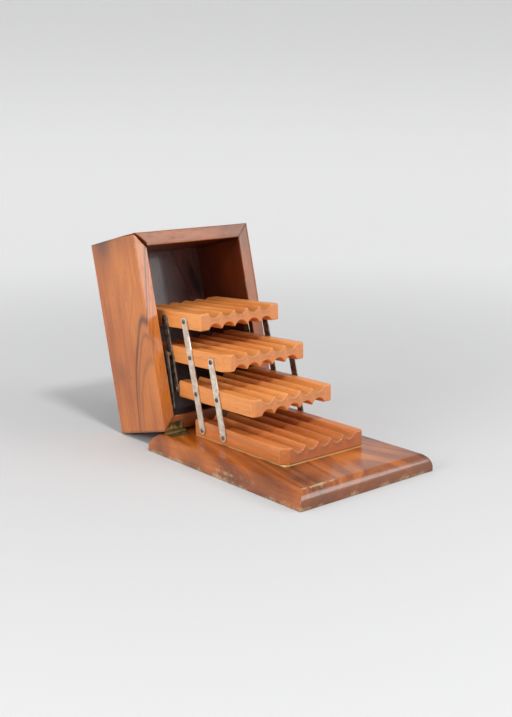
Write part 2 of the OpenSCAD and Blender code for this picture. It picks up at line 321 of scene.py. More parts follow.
def stepped(tree, value, low, high, to_low=0.0, to_high=1.0):
    """A smooth step: to_low below low, to_high above high."""
    return node(tree, "ShaderNodeMapRange",
                {"Value": value, "From Min": low, "From Max": high, "To Min": to_low,
                 "To Max": to_high}, interpolation_type="SMOOTHSTEP").outputs[0]


def bell(tree, value, centre, width):
    """1 where value is at the centre, falling away like a bell on both sides."""
    off = maths(tree, "DIVIDE", maths(tree, "SUBTRACT", value, centre), width)
    return maths(tree, "EXPONENT", maths(tree, "MULTIPLY", maths(tree, "MULTIPLY", off, off), -1.0))


def mixed(tree, share, a, b, blend="MIX"):
    """Colour a turning into colour b."""
    made = tree.nodes.new("ShaderNodeMix")
    made.data_type, made.blend_type = "RGBA", blend
    for socket, value in ((made.inputs[0], share), (made.inputs[6], a), (made.inputs[7], b)):
        if isinstance(value, bpy.types.NodeSocket):
            tree.links.new(value, socket)
        else:
            socket.default_value = value if isinstance(value, float) else (*value, 1.0)
    return made.outputs[2]


def ramp(tree, value, colours):
    """Colours at even steps from 0 to 1."""
    made = node(tree, "ShaderNodeValToRGB", {0: value})
    stops = made.color_ramp.elements
    while len(stops) < len(colours):
        stops.new(0.5)
    for i, colour in enumerate(colours):
        stops[i].position = i / (len(colours) - 1)
        stops[i].color = (*colour, 1.0)
    return made.outputs[0]


def fresh(name):
    """An empty material's node tree, with its shader."""
    material = bpy.data.materials.new(name)
    material.use_nodes = True
    return material, material.node_tree, material.node_tree.nodes["Principled BSDF"]


def put(tree, shader, **inputs):
    """Sets or links the shader's sockets; an underscore in a name stands for a space."""
    for name, value in inputs.items():
        socket = shader.inputs[name.replace("_", " ")]
        if isinstance(value, bpy.types.NodeSocket):
            tree.links.new(value, socket)
        else:
            socket.default_value = value


def bumped(tree, height, depth, strength=1.0):
    """A normal from a height from 0 to 1, over a relief of the given depth."""
    return node(tree, "ShaderNodeBump", {"Height": height, "Distance": depth,
                                         "Strength": strength}).outputs[0]


# %% A varnished or waxed wood
# Painted shade: the colour below multiplies the faces inside the cover darker.
painted_inside_tint = (0.42, 0.25, 0.13)
# The next colour darkens joints with grime and painted shade, and groove hollows and the board's
# foot with painted shade.
grime_and_shade_tint = (0.02, 0.010, 0.006)
most_shade = 0.93
pore_relief = 0.12 * MM
coat_blur = 0.11


def wood(name, tones, dark, pith, taper=0.0, turn_y=0.0, turn_z=0.0, ring=6 * MM, wander=5 * MM,
         veins=(), stains=(), flecks=0.25, fibre=0.18, figure=0.6, gloss=0.32, coat=0.5,
         worn=(0.55, 0.36, 0.17), end_tint=None, random_veins=0.5, seed=0.0):
    """A wood whose grain runs along X once it has been turned by turn_y and turn_z degrees.

    The growth value is the distance from the pith line plus taper times the way along, so
    that its level lines close into arches. Veins are (growth value, width, strength), and
    stains are (place, radius, strength).
    """
    material, tree, shader = fresh(name)
    coordinates = tree.nodes.new("ShaderNodeTexCoord")
    here = coordinates.outputs["Object"]
    rotation = Euler((0, math.radians(turn_y), math.radians(turn_z)))
    shift = -(rotation.to_matrix() @ Vector(pith))
    plank = node(tree, "ShaderNodeMapping", {"Vector": here, "Rotation": rotation[:],
                                             "Location": shift}).outputs[0]
    moved = vectors(tree, "ADD", plank, (seed, seed * 1.7, seed * 0.6))
    sway = node(tree, "ShaderNodeTexNoise",
                {"Vector": vectors(tree, "MULTIPLY", moved, (0.28, 1, 1)), "Scale": 16.0,
                 "Detail": 1.5}).outputs["Color"]
    sway = vectors(tree, "MULTIPLY", vectors(tree, "SUBTRACT", sway, (0.5, 0.5, 0.5)),
                   (0, wander * 4, wander * 4))
    bent = vectors(tree, "ADD", plank, sway)
    radius = vectors(tree, "LENGTH", vectors(tree, "MULTIPLY", bent, (0, 1, 1)), output=1)
    along = node(tree, "ShaderNodeSeparateXYZ", {0: bent}).outputs[0]
    growth = maths(tree, "MULTIPLY_ADD", along, taper, radius)
    rings = line_noise(tree, maths(tree, "ADD", growth, seed), 1 / ring, 3.0)
    fibres = noise(tree, moved, 1100.0, 2.0, 0.6, (0.03, 1, 1))
    strands = noise(tree, moved, 230.0, 2.0, 0.6, (0.05, 1, 1))
    blotches = noise(tree, moved, 20.0, 2.0, 0.5, (0.45, 1, 1))
    tone = maths(tree, "MULTIPLY_ADD", maths(tree, "SUBTRACT", rings, 0.5), figure, 0.5)
    tone = maths(tree, "MULTIPLY_ADD", maths(tree, "SUBTRACT", fibres, 0.5), fibre, tone)
    tone = maths(tree, "MULTIPLY_ADD", maths(tree, "SUBTRACT", strands, 0.5), fibre * 1.6, tone)
    tone = maths(tree, "MULTIPLY_ADD", maths(tree, "SUBTRACT", blotches, 0.5), 0.9, tone)
    colour = ramp(tree, tone, tones)
    pores = stepped(tree, noise(tree, moved, 1500.0, 1.0, 0.5, (0.07, 1, 1)), 0.60, 0.72)
    shade = maths(tree, "MULTIPLY", pores, flecks)
    lines = bell(tree, line_noise(tree, growth, 0.4 / ring, 1.0), 0.5, 0.012)
    breaks = stepped(tree, noise(tree, moved, 26.0, 2.0, 0.5, (0.5, 1, 1)), 0.42, 0.66)
    lines = maths(tree, "MULTIPLY", lines, maths(tree, "MULTIPLY", breaks, random_veins))
    shade = maths(tree, "MAXIMUM", shade, lines)
    for value, width, strength in veins:
        line = maths(tree, "MULTIPLY", bell(tree, growth, value, width), strength)
        uneven = maths(tree, "MULTIPLY_ADD", strands, 0.9, 0.4)
        shade = maths(tree, "MAXIMUM", shade, maths(tree, "MULTIPLY", line, uneven))
    for place, size, strength in stains:
        far = vectors(tree, "DISTANCE", here, tuple(place), output=1)
        patch = maths(tree, "MULTIPLY", bell(tree, far, 0.0, size), strength)
        patch = maths(tree, "MULTIPLY", patch, maths(tree, "MULTIPLY_ADD", strands, 0.8, 0.5))
        shade = maths(tree, "MAXIMUM", shade, patch)
    colour = mixed(tree, maths(tree, "MINIMUM", shade, most_shade), colour, dark)
    if end_tint:
        facing = node(tree, "ShaderNodeMapping",
                      {"Vector": coordinates.outputs["Normal"], "Rotation": rotation[:]},
                      vector_type="NORMAL").outputs[0]
        ends = maths(tree, "ABSOLUTE", node(tree, "ShaderNodeSeparateXYZ", {0: facing}).outputs[0])
        dots = noise(tree, moved, 1300.0, 1.0, 0.5, (1, 1, 1))
        speck = mixed(tree, stepped(tree, dots, 0.4, 0.62), end_tint,
                      tuple(0.72 * part for part in end_tint))
        colour = mixed(tree, stepped(tree, ends, 0.55, 0.95, 0.0, 0.8), colour, speck)
    rubbed = node(tree, "ShaderNodeAttribute", attribute_name="rubbed").outputs["Fac"]
    chips = noise(tree, here, 420.0, 4.0, 0.65)
    patches = noise(tree, here, 75.0, 2.0, 0.6)
    bare = maths(tree, "MULTIPLY_ADD", patches, 1.3, maths(tree, "MULTIPLY", chips, 1.3))
    bare = maths(tree, "ADD", bare, maths(tree, "MULTIPLY", rubbed, 0.9))
    bare = maths(tree, "MULTIPLY", stepped(tree, bare, 1.6, 2.15),
                 stepped(tree, rubbed, 0.02, 0.25, 0.0, 0.9))
    colour = mixed(tree, bare, colour, worn)
    # Painted shade: the faces inside the cover are multiplied darker by the inside mark.
    painted_shade_inside = node(tree, "ShaderNodeAttribute", attribute_name="inside").outputs["Fac"]
    colour = mixed(tree, painted_shade_inside, colour, painted_inside_tint, "MULTIPLY")
    # Grime and painted shade: the grime mark darkens joints, groove hollows and the board's foot.
    grime_and_shade_mask = node(tree, "ShaderNodeAttribute", attribute_name="grime").outputs["Fac"]
    colour = mixed(tree, maths(tree, "MULTIPLY", grime_and_shade_mask, 0.85, clamp=True), colour, grime_and_shade_tint)
    rough = maths(tree, "MULTIPLY_ADD", fibres, 0.16, gloss)
    rough = maths(tree, "MULTIPLY_ADD", bare, 0.3, rough)
    height = maths(tree, "MULTIPLY_ADD", pores, -0.8, maths(tree, "MULTIPLY", fibres, 0.5))
    height = maths(tree, "MULTIPLY_ADD", bare, -1.2, height)
    put(tree, shader, Base_Color=colour, Roughness=rough, Coat_Weight=coat, IOR=1.5,
        Coat_Roughness=coat_blur, Normal=bumped(tree, height, pore_relief))
    return material


# %% [markdown]
# ## Metals with a history
# The bars were plated once. Handling has left them grey and mottled, with brown tarnish in
# patches, and the brass hinges have gone olive and hold grime in every hollow. A metal's
# colour is its reflection, so the patches change both the colour and how blurred it is.

# %% Steel and brass


def metal(name, clean, dull, grime, rough=0.36, dirt=0.5, brushed=(1, 1, 1), metallic=1.0):
    """A plain metal with dull patches, grime in small spots, and fine rubbing marks."""
    material, tree, shader = fresh(name)
    here = tree.nodes.new("ShaderNodeTexCoord").outputs["Object"]
    patches = noise(tree, here, 130.0, 4.0, 0.6)
    grain = noise(tree, here, 1700.0, 3.0, 0.6, brushed)
    spots = noise(tree, here, 620.0, 3.0, 0.6)
    colour = mixed(tree, stepped(tree, patches, 0.35, 0.65), clean, dull)
    colour = mixed(tree, maths(tree, "MULTIPLY", stepped(tree, grain, 0.3, 0.8), 0.3), colour, dull)
    dirty = maths(tree, "MULTIPLY", stepped(tree, spots, 0.52, 0.7), dirt)
    colour = mixed(tree, dirty, colour, grime)
    blur = maths(tree, "MULTIPLY_ADD", patches, 0.25, rough)
    blur = maths(tree, "MULTIPLY_ADD", dirty, 0.25, blur)
    shine = maths(tree, "MULTIPLY_ADD", dirty, -0.6 * metallic, metallic)
    height = maths(tree, "MULTIPLY_ADD", grain, 0.4, maths(tree, "MULTIPLY", patches, 0.8))
    put(tree, shader, Base_Color=colour, Roughness=blur, Metallic=shine,
        Normal=bumped(tree, height, 0.08 * MM, 0.8))
    return material


bar_steel = metal("worn_plated_steel", (0.86, 0.82, 0.75), (0.66, 0.57, 0.47),
                  (0.16, 0.10, 0.06), 0.42, 0.35)
# Painted shade: a darker copy of the same steel, for the right-hand and rear bars.
shaded_steel = metal("tarnished_steel", (0.42, 0.36, 0.30), (0.16, 0.11, 0.08),
                     (0.05, 0.03, 0.02), 0.42, 0.9)
link_steel = metal("dark_link_steel", (0.36, 0.34, 0.32), (0.20, 0.17, 0.15),
                   (0.05, 0.035, 0.03), 0.4, 0.6)
screw_steel = metal("dark_screw_steel", (0.30, 0.26, 0.23), (0.13, 0.10, 0.08),
                    (0.03, 0.02, 0.015), 0.3, 0.6)
hinge_brass = metal("olive_hinge_brass", (0.42, 0.30, 0.11), (0.17, 0.12, 0.045),
                    (0.03, 0.022, 0.012), 0.38, 0.8)
bush_brass = metal("turned_brass", (0.60, 0.42, 0.15), (0.34, 0.23, 0.08),
                   (0.05, 0.035, 0.02), 0.3, 0.4)
screw_brass = metal("dull_screw_brass", (0.34, 0.25, 0.10), (0.14, 0.10, 0.04),
                    (0.02, 0.014, 0.008), 0.4, 0.7)
print("metals:", bar_steel.name, link_steel.name, screw_steel.name, hinge_brass.name)

# %% [markdown]
# ## The base board
# The board's edge is a moulding: a square band at the foot, then a round nosing that meets the
# flat top in a crease. A cabinet maker planes it along all four sides and it mitres itself at
# the corners. Here the same profile is swept round a rectangle whose sides move in with it.
# Years on a desk have rubbed the varnish from the crease and from the foot, so each point also
# keeps a number that says how rubbed it is.

# %% The board's profile and its sweep
board_low, board_high = [np.array(corner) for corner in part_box("base_board")]
board_t = board_high[2]
moulding_w = 9 * MM
band_h = 4 * MM


def moulding_profile():
    """Pairs of inset and height, from the underside, round the nosing, to inside the crease.

    The nosing is an arc that is upright at the top of the band and reaches the top of the
    board at the inset of the crease, so its radius is (w squared + h squared) / 2w.
    """
    rise = board_t - band_h
    radius = (moulding_w ** 2 + rise ** 2) / (2 * moulding_w)
    foot = 0.7 * MM
    t = np.linspace(0, math.pi / 2, 5)
    under = np.stack([np.linspace(26, 1, 6)[:-1] * MM, np.zeros(5)], 1)
    arris = np.stack([foot * (1 - np.sin(t)), foot * (1 - np.cos(t))], 1)
    band = np.stack([np.zeros(3), np.linspace(1.3 * MM, band_h, 4)[:-1]], 1)
    swing = np.linspace(0, math.asin(rise / radius), 26)
    nose = np.stack([radius * (1 - np.cos(swing)), band_h + radius * np.sin(swing)], 1)
    top = np.stack([moulding_w + np.linspace(0.5, 34, 30) * MM, np.full(30, board_t)], 1)
    nose[-1, 1] -= 0.12 * MM
    return np.concatenate([under, arris, band, nose, top])


def swept_round(profile, low, high, corner, spacing):
    """The profile swept round a rectangle: one loop per profile point, moved in by its inset."""
    half = (high[:2] - low[:2]) / 2
    middle = (high[:2] + low[:2]) / 2
    counts = (2 * half / spacing).astype(int)
    side_x = np.linspace(-1, 1, counts[0])
    side_y = np.linspace(-1, 1, counts[1])
    turn = np.linspace(0, math.pi / 2, 5)[1:-1]
    one_x, one_y, bend = np.ones(counts[0]), np.ones(counts[1]), np.ones(len(turn))
    share_x = np.concatenate([one_y, bend, -side_x, -bend, -one_y, -bend, side_x, bend])
    share_y = np.concatenate([side_y, bend, one_x, bend, -side_y, -bend, -one_x, -bend])
    angle = np.concatenate([0 * one_y, turn, 0 * one_x + math.pi / 2, turn + math.pi / 2,
                            0 * one_y + math.pi, turn + math.pi,
                            0 * one_x + 1.5 * math.pi, turn + 1.5 * math.pi])
    inset, height = profile[:, 0, None], profile[:, 1, None]
    x = middle[0] + share_x * (half[0] - inset - corner) + corner * np.cos(angle)
    y = middle[1] + share_y * (half[1] - inset - corner) + corner * np.sin(angle)
    return np.stack([x, y, height + 0 * x], -1)


board_profile = moulding_profile()
board_grid = swept_round(board_profile, board_low, board_high, 0.8 * MM, 2 * MM)
print("board sweep:", board_grid.shape[0], "loops of", board_grid.shape[1], "points")

# %% Rubbed edges, small dents along them, and painted shade along the foot
to_crease = np.hypot(board_profile[:, 0] - moulding_w, board_profile[:, 1] - board_t)[:, None]
foot_height = board_grid[..., 2]
front = np.clip((board_grid[..., 0] - (board_high[0] - 12 * MM)) / (4 * MM), 0, 1)
at_left = np.exp(-((board_grid[..., 1] + 62 * MM) / (26 * MM)) ** 2)
crease_rub = np.exp(-(to_crease / (1.3 * MM)) ** 2) * (0.22 + 0.28 * front * at_left)
crease_rub += np.exp(-(to_crease / (4.2 * MM)) ** 2) * 0.56 * front * at_left
crease_rub *= 1 + 0.5 * swell(board_grid, 0.02, 8)
flank = np.exp(-((board_grid[..., 0] - 25 * MM) / (42 * MM)) ** 2) * (board_grid[..., 1] < 0)
flank_rub = 0.42 * flank * np.exp(-((foot_height - 9 * MM) / (3.5 * MM)) ** 2)
foot_rub = np.exp(-(foot_height / (5.5 * MM)) ** 2) * (0.55 + 0.35 * swell(board_grid, 0.06, 5))
board_rub = np.clip(np.maximum(np.maximum(crease_rub, flank_rub), foot_rub), 0, 1)
dent = np.clip(swell(board_grid, 0.012, 11) - 0.35, 0, 1) * np.exp(-(to_crease / (1.2 * MM)) ** 2)
board_grid[..., 2] -= dent * 0.5 * MM
# Painted shade: a dark band along the very foot, where the board meets the floor.
foot_contact_shade = np.exp(-(foot_height / (0.8 * MM)) ** 2) * 0.55
print("most rubbed:", round(float(board_rub.max()), 2))

# %% The board's wood: red-brown under gloss varnish, with a dark vein that runs to one corner


def board_spot(x, y, z):
    """A place on the board, given in millimetres."""
    return tuple(value * MM for value in (x, y, z))


board_wood = wood(
    "board_varnished_wood",
    [(0.060, 0.013, 0.002), (0.23, 0.050, 0.005), (0.42, 0.105, 0.010), (0.60, 0.18, 0.020)],
    (0.030, 0.010, 0.005), pith=(0, 20 * MM, -30 * MM), taper=-0.21, ring=8 * MM,
    wander=5 * MM, veins=((68.5 * MM, 2.6 * MM, 0.9), (40 * MM, 1.6 * MM, 0.3)),
    stains=((board_spot(118, -61, 8), 10 * MM, 0.8), (board_spot(119, 84, 10), 24 * MM, 0.65),
            (board_spot(92, -56, 18), 16 * MM, 0.6), (board_spot(58, -46, 18), 12 * MM, 0.5),
            (board_spot(-40, -90, 4), 20 * MM, 0.35), (board_spot(119, 20, 2), 26 * MM, 0.4),
            (board_spot(60, -90, 2), 22 * MM, 0.4)),
    figure=1.1, fibre=0.3, gloss=0.24, coat=0.5, flecks=0.4, worn=(0.48, 0.33, 0.17),
    random_veins=0.25, end_tint=(0.20, 0.055, 0.012), seed=0.31)


def boxed(low, high):
    """A plain block, eight points and six faces, to cut a hollow with."""
    corners = np.array([[x, y, z] for x in (0, 1) for y in (0, 1) for z in (0, 1)], float)
    faces = [[0, 1, 3, 2], [4, 6, 7, 5], [0, 4, 5, 1], [2, 3, 7, 6], [0, 2, 6, 4], [1, 5, 7, 3]]
    return np.asarray(low) + corners * (np.asarray(high) - np.asarray(low)), faces


def rod(centre, radius, y0, y1, sides=32):
    """A round bar along Y: two rings of points and two end faces."""
    angle = np.arange(sides) / sides * 2 * math.pi
    ring = np.stack([centre[0] + radius * np.cos(angle), 0 * angle,
                     centre[2] + radius * np.sin(angle)], 1)
    grid = np.stack([ring + [0, y0, 0], ring + [0, y1, 0]])
    return with_ends(grid)


def cut_away(thing, cutters):
    """Takes closed shapes away from a piece for good, so that nothing is left to work out later."""
    helpers = []
    for points, faces in cutters:
        mesh = bpy.data.meshes.new("cutter")
        mesh.from_pydata(points.tolist(), [], looking_outwards(points, faces))
        helper = bpy.data.objects.new("cutter", mesh)
        bpy.context.scene.collection.objects.link(helper)
        helpers.append(helper)
        step = thing.modifiers.new("cut", "BOOLEAN")
        step.object, step.operation, step.solver = helper, "DIFFERENCE", "EXACT"
    graph = bpy.context.evaluated_depsgraph_get()
    made = bpy.data.meshes.new_from_object(thing.evaluated_get(graph), depsgraph=graph)
    thing.modifiers.clear()
    thing.data = made
    for helper in helpers:
        bpy.data.objects.remove(helper)
    return thing


# The board's grime mark is painted shade at the foot.
base_board = piece(
    "base_board_moulded", [with_ends(board_grid)], board_wood, "base",
    ["base_board"], sharp=22, marks={"rubbed": board_rub.ravel(), "grime": foot_contact_shade.ravel()})
leaf_t = 1.1 * MM
leaf_w = 12 * MM
leaf_gap = 0.1 * MM
knuckle_room = 3.0 * MM
pockets = []
for side in ("left", "right"):
    low, high = [np.array(corner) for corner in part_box(f"hinge_{side}_board_leaf")]
    pockets.append(boxed([hinge[0], low[1] - leaf_gap, board_t - leaf_t],
                         [high[0] + leaf_gap, high[1] + leaf_gap, board_t + 3 * MM]))
    pockets.append(rod(hinge, knuckle_room, low[1] - 3 * leaf_gap, high[1] + 3 * leaf_gap))
cut_away(base_board, pockets)
print("board with hinge pockets:", len(base_board.data.polygons), "faces")

# %% [markdown]
# ## The grooved trays
# Each tray is one block of pale close-grained wood with five grooves run along it by a round
# cutter, on top and underneath, so that the ridges stand up as soft crests and the end shows
# a scalloped edge. The groove is an arc of a circle. Where two grooves meet, the crest is
# rounded by a smooth maximum, as sandpaper leaves it.

# %% The section of a tray
tray_edge = 10.25 * MM
groove_n = 5
groove_d = 5.6 * MM
ridge_w = 1.3 * MM
tray_arris = 0.9 * MM
right_corner = 2.5 * MM
end_ease = 1.9 * MM
top_wave, side_wave = 0.22 * MM, 0.16 * MM


def groove_depth(across, half_width, seed):
    """How far the cutter goes down at each place across the tray: the deepest of the arcs.

    An arc's depth is sqrt(r squared - distance squared) - (r - d), and it is blended with
    zero by a smooth maximum, (a + sqrt(a squared + k squared)) / 2.
    """
    pitch = 2 * (half_width - tray_edge) / groove_n
    reach = (pitch - ridge_w) / 2
    radius = (reach ** 2 + groove_d ** 2) / (2 * groove_d)
    draw = np.random.default_rng(seed)
    centres = (np.arange(groove_n) - (groove_n - 1) / 2) * pitch
    centres = centres + draw.uniform(-0.25, 0.25, groove_n) * MM
    depths = groove_d - draw.uniform(0, 0.35, groove_n) * MM
    off = across[:, None] - centres
    arc = np.sqrt(np.clip(radius ** 2 - off ** 2, 0, None)) - (radius - depths)
    soften = 0.35 * MM
    return ((arc + np.sqrt(arc ** 2 + soften ** 2)) / 2).max(1)


def tray_section(half_width, low_z, high_z, grooved_under, seed):
    """A tray's outline: the underside from left to right, then the top from right to left."""
    t = np.linspace(0, math.pi / 2, 5)
    rim = tray_arris * (1 - np.sin(t))[::-1]
    inside = np.linspace(-half_width + 1.2 * tray_arris, half_width - 1.2 * tray_arris, 300)
    across = np.concatenate([-half_width + rim, inside, (half_width - rim)[::-1]])
    to_side = np.clip(half_width - np.abs(across), 0, tray_arris)
    drop = tray_arris - np.sqrt(tray_arris ** 2 - (tray_arris - to_side) ** 2)
    top = high_z - drop - groove_depth(across, half_width, seed)
    under = low_z + drop + (groove_depth(across, half_width, seed + 50) if grooved_under else 0)
    return np.concatenate([np.stack([across, under], 1), np.stack([across, top], 1)[::-1]])


def tray_grid(low, high, grooved_under, facet, back_r, seed):
    """A level tray: its section carried along X, with the front corner and the rear edge cut."""
    half_width = (high[1] - low[1]) / 2
    outline = tray_section(half_width, low[2], high[2], grooved_under, seed)
    up = np.clip(outline[:, 1] - (high[2] - back_r), 0, None)
    start = low[0] + back_r - np.sqrt(np.clip(back_r ** 2 - up ** 2, 0, None))
    end = high[0] - np.clip(facet - (outline[:, 0] + half_width), 0, None)
    to_corner = np.clip(outline[:, 0] - half_width + right_corner, 0, None)
    end = end - to_corner ** 2 / right_corner
    middle = (low[2] + high[2]) / 2
    at_side = np.abs(outline[:, 0]) > half_width - tray_arris
    outwards = np.stack([0.2 * np.sign(outline[:, 0]) * at_side,
                         np.sign(outline[:, 1] - middle)], 1)
    grid = carried(outline, start, end, end_ease, 44, 6, outwards)
    side = np.abs(grid[..., 1]) > half_width - 1.5 * MM
    ripple = 0.5 + 0.5 * swell(grid, 0.045, seed + 9)
    above = grid[..., 2] > middle
    grid[..., 2] -= np.where(above, top_wave, -top_wave * grooved_under) * ripple
    grid[..., 1] -= np.sign(grid[..., 1]) * side * side_wave * ripple
    return grid


def tray_faces(rows, columns):
    """The carried faces, and ends made of strips between the top and the underside."""
    half = columns // 2
    strip = np.arange(half - 1)
    cap = np.stack([strip, strip + 1, columns - 2 - strip, columns - 1 - strip], 1)
    last = (rows - 1) * columns
    return grid_faces(rows, columns) + cap[:, ::-1].tolist() + (cap + last).tolist()


# %% The wood of the trays, and the four trays
low_tray_tones = [(0.28, 0.066, 0.012), (0.52, 0.145, 0.028), (0.68, 0.22, 0.052),
                  (0.80, 0.31, 0.095)]
tray_tones = [(0.46, 0.130, 0.025), (0.68, 0.230, 0.050), (0.80, 0.310, 0.080),
              (0.90, 0.40, 0.12)]
low_tray_end, tray_end = (0.48, 0.135, 0.036), (0.70, 0.255, 0.085)
pivots = {1: place_of("middle_bars_fold"), 2: place_of("tray_2_pivot"),
          3: place_of("tray_3_pivot"), 4: place_of("tray_4_pivot")}
bars_swing = joints["middle_bars_fold"]["range_deg"][1]
tips = {1: 0.0, **{n: bars_swing + joints[f"tray_{n}_pivot"]["range_deg"][0] for n in (2, 3, 4)}}
tray_bodies = {1: "base", 2: "second_tray", 3: "third_tray", 4: "top_tray"}
groove_sink = 7 * MM
facets = {1: 7 * MM, 2: 3 * MM, 3: 7 * MM, 4: 0.0}
trays = {}
for n in range(1, 5):
    low, high = low_high(turned(cad_points(f"tray_{n}"), pivots[n], tips[n]))
    level = tray_grid(low, high, n > 1, facets[n], 6 * MM if n == 4 else 0.0, 40 + n)
    tipped = turned(level, pivots[n], -tips[n])
    tray_wood = wood(
        f"tray_{n}_wood", low_tray_tones if n == 1 else tray_tones, (0.34, 0.105, 0.035),
        pith=(0, (60 - 35 * n) * MM, (-90 + 40 * n) * MM), turn_y=tips[n], ring=5 * MM,
        wander=4 * MM, taper=0.05, figure=0.36, fibre=0.32, flecks=0.5, gloss=0.4, coat=0.22,
        worn=(0.80, 0.45, 0.22), end_tint=low_tray_end if n == 1 else tray_end,
        random_veins=0.1, seed=0.7 * n)
    level_middle = (low[2] + high[2]) / 2
    edge_rub = np.clip(1 - np.abs(np.abs(level[..., 1]) - (high[1] - 0.4 * MM)) / (1 * MM), 0, 1)
    # Painted shade: the groove hollows darken through the grime mark, fully at the depth
    # groove_sink.
    groove_shade = np.clip((high[2] - level[..., 2]) / groove_sink, 0, 1) * (level[..., 2] > level_middle)
    trays[n] = piece(f"tray_{n}_grooved", [(tipped.reshape(-1, 3), tray_faces(*level.shape[:2]))],
                     tray_wood, tray_bodies[n], [f"tray_{n}"], sharp=38,
                     marks={"rubbed": 0.25 * edge_rub.ravel(), "grime": 0.34 * groove_shade.ravel()})
print("trays tip back by", {n: round(tip, 2) for n, tip in tips.items()}, "degrees")

# %% [markdown]
# ## The packing under the bottom tray
# A thin pale strip lifts the bottom tray off the board. It was cut by hand, so its edges waver
# in and out under the tray, and it shows as a straw-coloured line with a dark gap.

# %% The packing strip
low, high = [np.array(corner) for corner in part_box("tray_1_packing")]
corners = [(low[1], low[2]), (high[1], low[2]), (high[1], high[2]), (low[1], high[2])]
strip_outline = rounded_outline(corners, [0.1 * MM] * 4, 3 * MM, steps=2)
strip_ends = np.ones(len(strip_outline))
strip = carried(strip_outline, low[0] * strip_ends, high[0] * strip_ends, 0.1 * MM, 70)
hollow = np.clip(swell(strip * [1, 1, 0], 0.028, 21), 0, 1) * 1.6 * MM
from_edge = np.clip(np.abs(strip[..., 1]) / high[1], 0, 1) ** 8
strip[..., 1] -= np.sign(strip[..., 1]) * hollow * from_edge
packing_wood = wood(
    "packing_straw_wood", [(0.42, 0.25, 0.09), (0.60, 0.40, 0.17), (0.74, 0.54, 0.27)],
    (0.16, 0.08, 0.03), pith=(0, 0, -60 * MM), ring=3 * MM, gloss=0.6, coat=0.0, figure=0.4,
    random_veins=0.0, seed=2.0)
piece("tray_1_packing_strip", [with_ends(strip)], packing_wood, "base",
      ["tray_1_packing"])

# %% [markdown]
# ## The cover
# Four boards meet at mitres, like a deep picture frame, and a thin panel is let into a rebate
# behind them. Each wall is one section, carried along its length, with both ends sloping in by
# as much as the section is deep. At the upper left corner the old joint has opened: the two
# ends stand back from each other at the rim and meet again further in.

# %% The walls, drawn shut
cover_low, cover_high = low_high(np.concatenate(
    [np.array(shut_box(f"cover_{side}_wall")) for side in ("left", "right", "front", "rear")]))
panel_low, panel_high = shut_box("cover_panel")
wall = cover_high[0] - shut_box("cover_front_wall")[0][0]
rebate_in = panel_low[0] - cover_low[0]
outer_round = 1.0 * MM
hairline = 0.04 * MM
front_gap, left_gap = 3.4 * MM, 2.0 * MM
gap_reach = 17 * MM
print("cover, mm:", np.round((cover_high - cover_low) / MM, 1), "walls", round(wall / MM, 1))


def wall_section():
    """Thickness from the outer face, and height: a plank with a rebate for the panel."""
    rim, back, step = cover_low[2], cover_high[2], panel_low[2]
    corners = [(0, rim), (wall, rim), (wall, step), (rebate_in, step), (rebate_in, back), (0, back)]
    radii = [outer_round, 0.8 * MM, 0.1 * MM, 0.1 * MM, 0.3 * MM, outer_round]
    return rounded_outline(corners, radii, 2.5 * MM)


def mitred(length, gap_start=0.0, gap_end=0.0, seed=1):
    """A wall of some length as rows of (along, thickness, height), with its ends mitred.

    At an end, a point stands back by its own depth in the wall. The outer face dips by
    r - sqrt(r squared - (r - distance) squared) over the last stretch, so that two walls meet
    in a rounded corner. A gap opens one end, most at the rim, in a ragged line.
    """
    section = wall_section()
    depth, up = section[:, 0], section[:, 1] - cover_low[2]
    ragged = 1 + 0.6 * swell(np.stack([depth, up, 0 * up], 1), 0.007, seed)
    opening = np.exp(-(up / gap_reach) ** 2) * ragged
    back = np.maximum(depth, (1 - math.sqrt(0.5)) * outer_round) + hairline
    grid = carried(section, back + gap_start * opening, length - back - gap_end * opening,
                   0.12 * MM, 90)
    to_end = np.clip(np.minimum(grid[..., 0], length - grid[..., 0]), 0, outer_round)
    dip = outer_round - np.sqrt(outer_round ** 2 - (outer_round - to_end) ** 2)
    grid[..., 1] = np.maximum(grid[..., 1], dip)
    grid[..., 1] += np.where(grid[..., 1] < outer_round, 0.10 * MM, 0) * (
        1 + swell(grid, 0.08, seed + 3))
    return grid


def wall_marks(grid, length):
    """How rubbed each point is, most at the rim's edges; grime and painted shade in and by the
    joints; and painted shade on the faces inside the cover.
    """
    depth, up = grid[..., 1], grid[..., 2] - cover_low[2]
    rim = np.exp(-(up / (1.3 * MM)) ** 2) * np.exp(-(np.minimum(depth, wall - depth) / MM) ** 2)
    past = np.minimum(grid[..., 0], length - grid[..., 0]) - depth
    # Grime and painted shade: a dark line along each mitre joint.
    mitre_dirt_and_shade = np.exp(-(np.clip(past, 0, 1) / (0.35 * MM)) ** 2)
    # Painted shade: the faces inside the cover are marked to be multiplied darker.
    inside = (depth > wall - 0.5 * MM) * np.clip(up / (2 * MM), 0, 1)
    return {"rubbed": np.clip(0.45 * rim, 0, 1).ravel(), "grime": (0.9 * mitre_dirt_and_shade).ravel(),
            "inside": inside.ravel()}


# %% The cover's woods: dark-veined fruitwood with a waxed shine
cover_tones = [(0.20, 0.038, 0.004), (0.40, 0.098, 0.010), (0.58, 0.172, 0.022),
               (0.74, 0.26, 0.046)]
rim_tones = [(0.10, 0.022, 0.004), (0.23, 0.058, 0.010), (0.37, 0.100, 0.016),
             (0.50, 0.15, 0.028)]
cover_dark = (0.040, 0.014, 0.010)


def in_case(x, y, z):
    """A place given in millimetres on the shut cover, turned to where it is on the open case."""
    return opened(np.array([x, y, z]) * MM)


